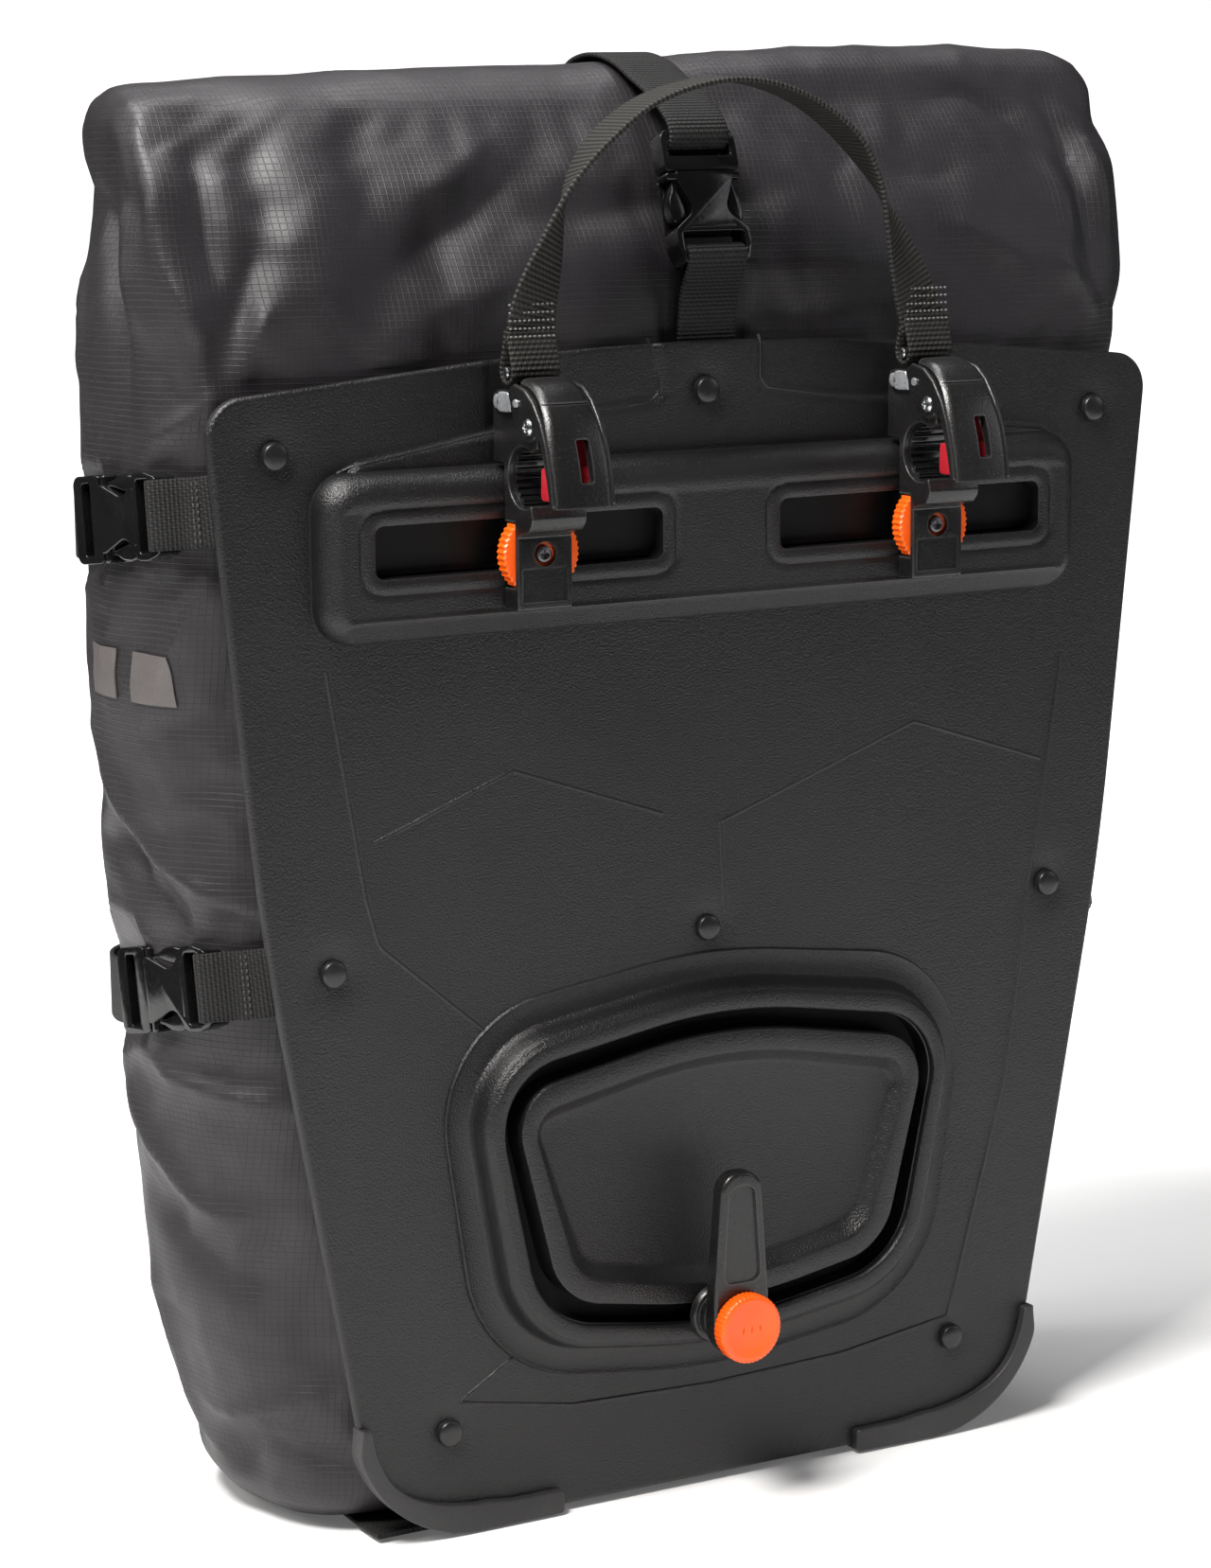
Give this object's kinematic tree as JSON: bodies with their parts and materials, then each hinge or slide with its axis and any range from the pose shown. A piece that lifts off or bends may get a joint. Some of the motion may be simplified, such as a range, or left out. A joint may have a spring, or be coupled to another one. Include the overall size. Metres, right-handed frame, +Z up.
{
  "type": "pannier bag",
  "caption": "Roll-top bicycle pannier with a moulded back plate, sliding rail hooks, webbing handle, side compression straps and a lower stay hook.",
  "frame": {"origin": "centre of the bounding box at the base, where the bag and its corner guards stand", "axes": "+Z up, -Y out of the back plate towards the rack, +X to the right as seen facing the back plate"},
  "size_m": [0.4314, 0.1874, 0.549],
  "materials": {
    "coated_fabric": "satin coated ripstop",
    "webbing": "woven ribs",
    "grained_plastic": "fine grain",
    "guard_plastic": "fine grain",
    "rivet_plastic": "satin",
    "buckle_plastic": "semi gloss",
    "hook_plastic": "satin",
    "orange_plastic": "semi gloss",
    "red_plastic": "semi gloss",
    "zinc_steel": "zinc plated",
    "rail_aluminium": "black anodised",
    "reflective": "reflective film"
  },
  "bodies": {
    "bag": {"dry_bag": "coated_fabric", "back_plate": "grained_plastic", "hook_rail": "rail_aluminium", "lower_hook_track": "grained_plastic", "track_island": "grained_plastic", "rivet_top_left": "rivet_plastic", "rivet_top_middle": "rivet_plastic", "rivet_top_right": "rivet_plastic", "rivet_middle_left": "rivet_plastic", "rivet_centre": "rivet_plastic", "rivet_middle_right": "rivet_plastic", "rivet_bottom_left": "rivet_plastic", "rivet_bottom_right": "rivet_plastic", "corner_guard_left": "guard_plastic", "corner_guard_right": "guard_plastic", "reflector_left": "reflective", "reflector_right": "reflective", "bottom_tab": "webbing", "upper_left_strap": "webbing", "upper_left_buckle_socket": "buckle_plastic", "upper_right_strap": "webbing", "upper_right_buckle_socket": "buckle_plastic", "upper_band": "webbing", "lower_left_strap": "webbing", "lower_left_buckle_socket": "buckle_plastic", "lower_right_strap": "webbing", "lower_right_buckle_socket": "buckle_plastic", "lower_band": "webbing", "top_strap_lower": "webbing", "top_strap_over": "webbing", "top_buckle_socket": "buckle_plastic"},
    "upper_left_plug": {"upper_left_buckle_plug": "buckle_plastic"},
    "upper_right_plug": {"upper_right_buckle_plug": "buckle_plastic"},
    "lower_left_plug": {"lower_left_buckle_plug": "buckle_plastic"},
    "lower_right_plug": {"lower_right_buckle_plug": "buckle_plastic"},
    "top_plug": {"top_buckle_plug": "buckle_plastic"},
    "left_hook": {"hook_body_left": "hook_plastic", "hook_cover_left": "hook_plastic", "cover_screw_left": "zinc_steel", "frame_pin_left": "zinc_steel", "clamp_bolt_left": "zinc_steel", "rail_nut_left": "zinc_steel"},
    "left_latch": {"latch_left": "red_plastic", "handle_pin_left": "zinc_steel"},
    "left_wheel": {"clamp_wheel_left": "orange_plastic"},
    "right_hook": {"hook_body_right": "hook_plastic", "hook_cover_right": "hook_plastic", "cover_screw_right": "zinc_steel", "frame_pin_right": "zinc_steel", "clamp_bolt_right": "zinc_steel", "rail_nut_right": "zinc_steel"},
    "right_latch": {"latch_right": "red_plastic", "handle_pin_right": "zinc_steel"},
    "right_wheel": {"clamp_wheel_right": "orange_plastic"},
    "handle": {"carry_handle": "webbing"},
    "arm_base": {"arm_shoe": "hook_plastic", "arm_stem": "hook_plastic"},
    "arm": {"lower_arm": "hook_plastic"},
    "knob": {"arm_knob": "orange_plastic"}
  },
  "joints": [
    {"name": "hook_slide_left", "type": "slide", "parent": "bag", "child": "left_hook", "axis": [1, 0, 0], "range_m": [-0.045, 0.038]},
    {"name": "hook_slide_right", "type": "slide", "parent": "bag", "child": "right_hook", "axis": [1, 0, 0], "range_m": [-0.045, 0.038]},
    {"name": "latch_lift_left", "type": "slide", "parent": "left_hook", "child": "left_latch", "axis": [0, 0, 1], "range_m": [0, 0.006], "stiffness_N_per_m": 300, "springref_m": -0.004},
    {"name": "clamp_wheel_turn_left", "type": "hinge", "parent": "left_hook", "child": "left_wheel", "pos_m": [-0.0805, -0.0575, 0.366], "axis": [0, -1, 0], "continuous": true},
    {"name": "latch_lift_right", "type": "slide", "parent": "right_hook", "child": "right_latch", "axis": [0, 0, 1], "range_m": [0, 0.006], "stiffness_N_per_m": 300, "springref_m": -0.004},
    {"name": "clamp_wheel_turn_right", "type": "hinge", "parent": "right_hook", "child": "right_wheel", "pos_m": [0.0875, -0.0575, 0.366], "axis": [0, -1, 0], "continuous": true},
    {"name": "handle_swing", "type": "hinge", "parent": "left_latch", "child": "handle", "pos_m": [-0.0805, -0.053, 0.43], "axis": [1, 0, 0], "range_deg": [-5, 72], "stiffness_Nm_per_rad": 0.05},
    {"name": "arm_track_travel", "type": "hinge", "parent": "bag", "child": "arm_base", "pos_m": [0, -0.054, 0.26819], "axis": [0, -1, 0], "range_deg": [-6, 9]},
    {"name": "arm_turn", "type": "hinge", "parent": "arm_base", "child": "arm", "pos_m": [-0.005, -0.069, 0.0719], "axis": [0, -1, 0], "continuous": true},
    {"name": "knob_turn", "type": "hinge", "parent": "arm_base", "child": "knob", "pos_m": [-0.005, -0.077, 0.0719], "axis": [0, -1, 0], "continuous": true},
    {"name": "upper_left_buckle_release", "type": "slide", "parent": "bag", "child": "upper_left_plug", "axis": [-0.23, 0.9659, -0.1186], "range_m": [0, 0.016], "deforming": ["upper_band"]},
    {"name": "upper_right_buckle_release", "type": "slide", "parent": "bag", "child": "upper_right_plug", "axis": [0.0872, 0.9888, -0.1214], "range_m": [0, 0.016], "deforming": ["upper_band"]},
    {"name": "lower_left_buckle_release", "type": "slide", "parent": "bag", "child": "lower_left_plug", "axis": [-0.2924, 0.9409, -0.171], "range_m": [0, 0.016], "deforming": ["lower_band"]},
    {"name": "lower_right_buckle_release", "type": "slide", "parent": "bag", "child": "lower_right_plug", "axis": [0.1392, 0.9743, -0.1771], "range_m": [0, 0.016], "deforming": ["lower_band"]},
    {"name": "top_buckle_release", "type": "slide", "parent": "bag", "child": "top_plug", "axis": [0, 0.2983, 0.9545], "range_m": [0, 0.016], "deforming": ["top_strap_over"]}
  ],
  "couplings": [
    {"joint": "hook_slide_right", "follows": "hook_slide_left", "ratio": 1},
    {"joint": "latch_lift_right", "follows": "latch_lift_left", "ratio": 1}
  ]
}
